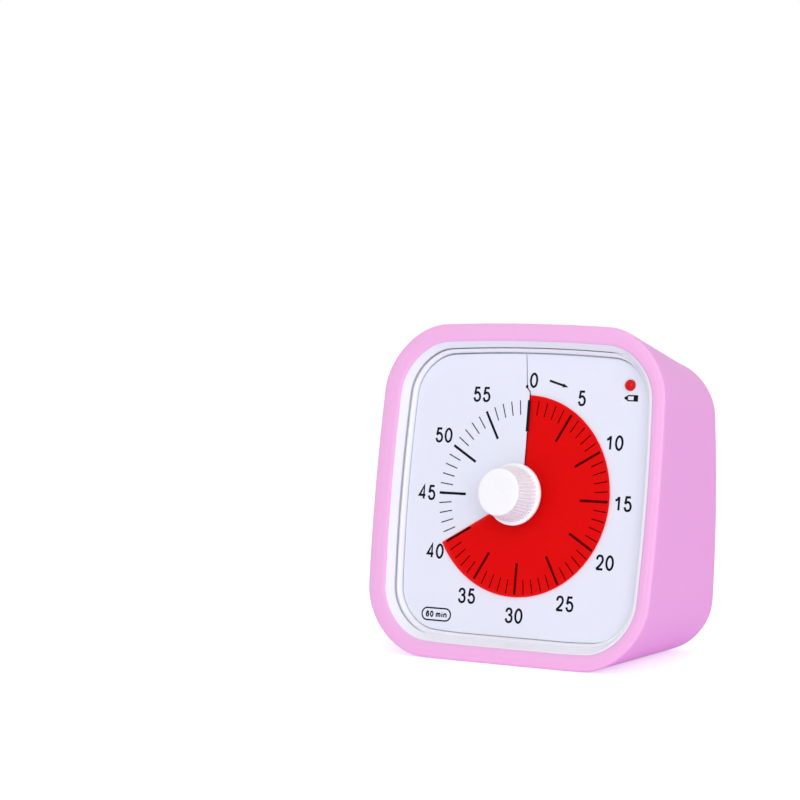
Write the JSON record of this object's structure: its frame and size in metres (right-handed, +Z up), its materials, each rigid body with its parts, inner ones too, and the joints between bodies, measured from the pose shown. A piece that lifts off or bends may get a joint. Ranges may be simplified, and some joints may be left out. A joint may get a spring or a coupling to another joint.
{
  "type": "visual countdown timer",
  "caption": "Desk countdown timer whose knob winds a red disc out of a slit in the dial, in a plastic case with a soft silicone cover.",
  "frame": {"origin": "middle of the footprint, on the surface it stands on", "axes": "+Z up, -Y out of the leaning dial towards the user, +X to the user's right"},
  "size_m": [0.087, 0.0521, 0.0885],
  "materials": {
    "pink_silicone": "satin moulded silicone",
    "white_plastic": "fine satin moulded plastic",
    "printed_card": "printed satin sheet",
    "red_film": "satin coloured film",
    "knob_plastic": "glossy moulded plastic",
    "steel": "bright drawn steel",
    "dark_steel": "blackened spring steel",
    "brass": "turned brass",
    "black_plastic": "moulded black plastic",
    "gear_plastic": "natural acetal",
    "board_green": "soldermask over fibreglass",
    "blue_sleeve": "shrunk sleeve",
    "red_lens": "clear red epoxy",
    "battery_wrap": "plain printed wrap",
    "red_wire": "wire insulation",
    "black_wire": "wire insulation",
    "blue_wire": "wire insulation"
  },
  "bodies": {
    "timer_body": {"silicone_cover": "pink_silicone", "front_case": "white_plastic", "rear_case": "white_plastic", "dial_ring": "white_plastic", "dial_plate": "printed_card", "centre_bush": "brass", "movement_front": "black_plastic", "movement_back": "black_plastic", "movement_screws": "steel", "idler_pin": "steel", "motor": "steel", "motor_screws": "steel", "control_board": "board_green", "control_chip": "black_plastic", "capacitor": "blue_sleeve", "volume_switch": "steel", "buzzer": "black_plastic", "warning_light": "red_lens", "battery": "battery_wrap", "battery_spring": "steel", "battery_plate": "steel", "case_screws": "steel", "board_screws": "steel", "battery_leads": "red_wire", "buzzer_leads": "black_wire", "motor_leads": "blue_wire", "light_leads": "red_wire"},
    "dial_drive": {"knob": "knob_plastic", "disc_hub": "white_plastic", "arbor": "steel", "clutch_washer": "brass", "arbor_clip": "dark_steel"},
    "film": {"red_disc": "red_film"},
    "centre_wheel": {"centre_wheel": "gear_plastic"},
    "idler": {"idler_wheel": "gear_plastic"},
    "pinion": {"motor_pinion": "brass"},
    "slider": {"volume_slider": "black_plastic"},
    "door": {"battery_door": "white_plastic"}
  },
  "joints": [
    {"name": "knob_turn", "type": "hinge", "parent": "timer_body", "child": "dial_drive", "pos_m": [0, -0.0136, 0.0434], "axis": [0, 0.9871, -0.1599], "range_deg": [-240, 120]},
    {"name": "film_wind", "type": "slide", "parent": "dial_drive", "child": "film", "axis": [0, -0.9871, 0.1599], "range_m": [-0.0007, 0.00035]},
    {"name": "centre_wheel_turn", "type": "hinge", "parent": "timer_body", "child": "centre_wheel", "pos_m": [0, -0.0136, 0.0434], "axis": [0, 0.9871, -0.1599], "range_deg": [-241, 121]},
    {"name": "idler_turn", "type": "hinge", "parent": "timer_body", "child": "idler", "pos_m": [0, -0.01136, 0.05722], "axis": [0, 0.9871, -0.1599], "range_deg": [-726, 1446]},
    {"name": "pinion_turn", "type": "hinge", "parent": "timer_body", "child": "pinion", "pos_m": [-0.01039, -0.01232, 0.0513], "axis": [0, 0.9871, -0.1599], "range_deg": [-7230, 3630]},
    {"name": "volume_slide", "type": "slide", "parent": "timer_body", "child": "slider", "axis": [1, 0, 0], "range_m": [-0.002, 0.002]},
    {"name": "battery_door_swing", "type": "hinge", "parent": "timer_body", "child": "door", "pos_m": [0, 0.02185, 0.01035], "axis": [-1, 0, 0], "range_deg": [0, 60]}
  ],
  "couplings": [
    {"joint": "knob_turn", "follows": "film_wind", "rad_per_m": 5984},
    {"joint": "centre_wheel_turn", "follows": "film_wind", "rad_per_m": 5984},
    {"joint": "idler_turn", "follows": "film_wind", "rad_per_m": -35904},
    {"joint": "pinion_turn", "follows": "film_wind", "rad_per_m": 179520}
  ]
}
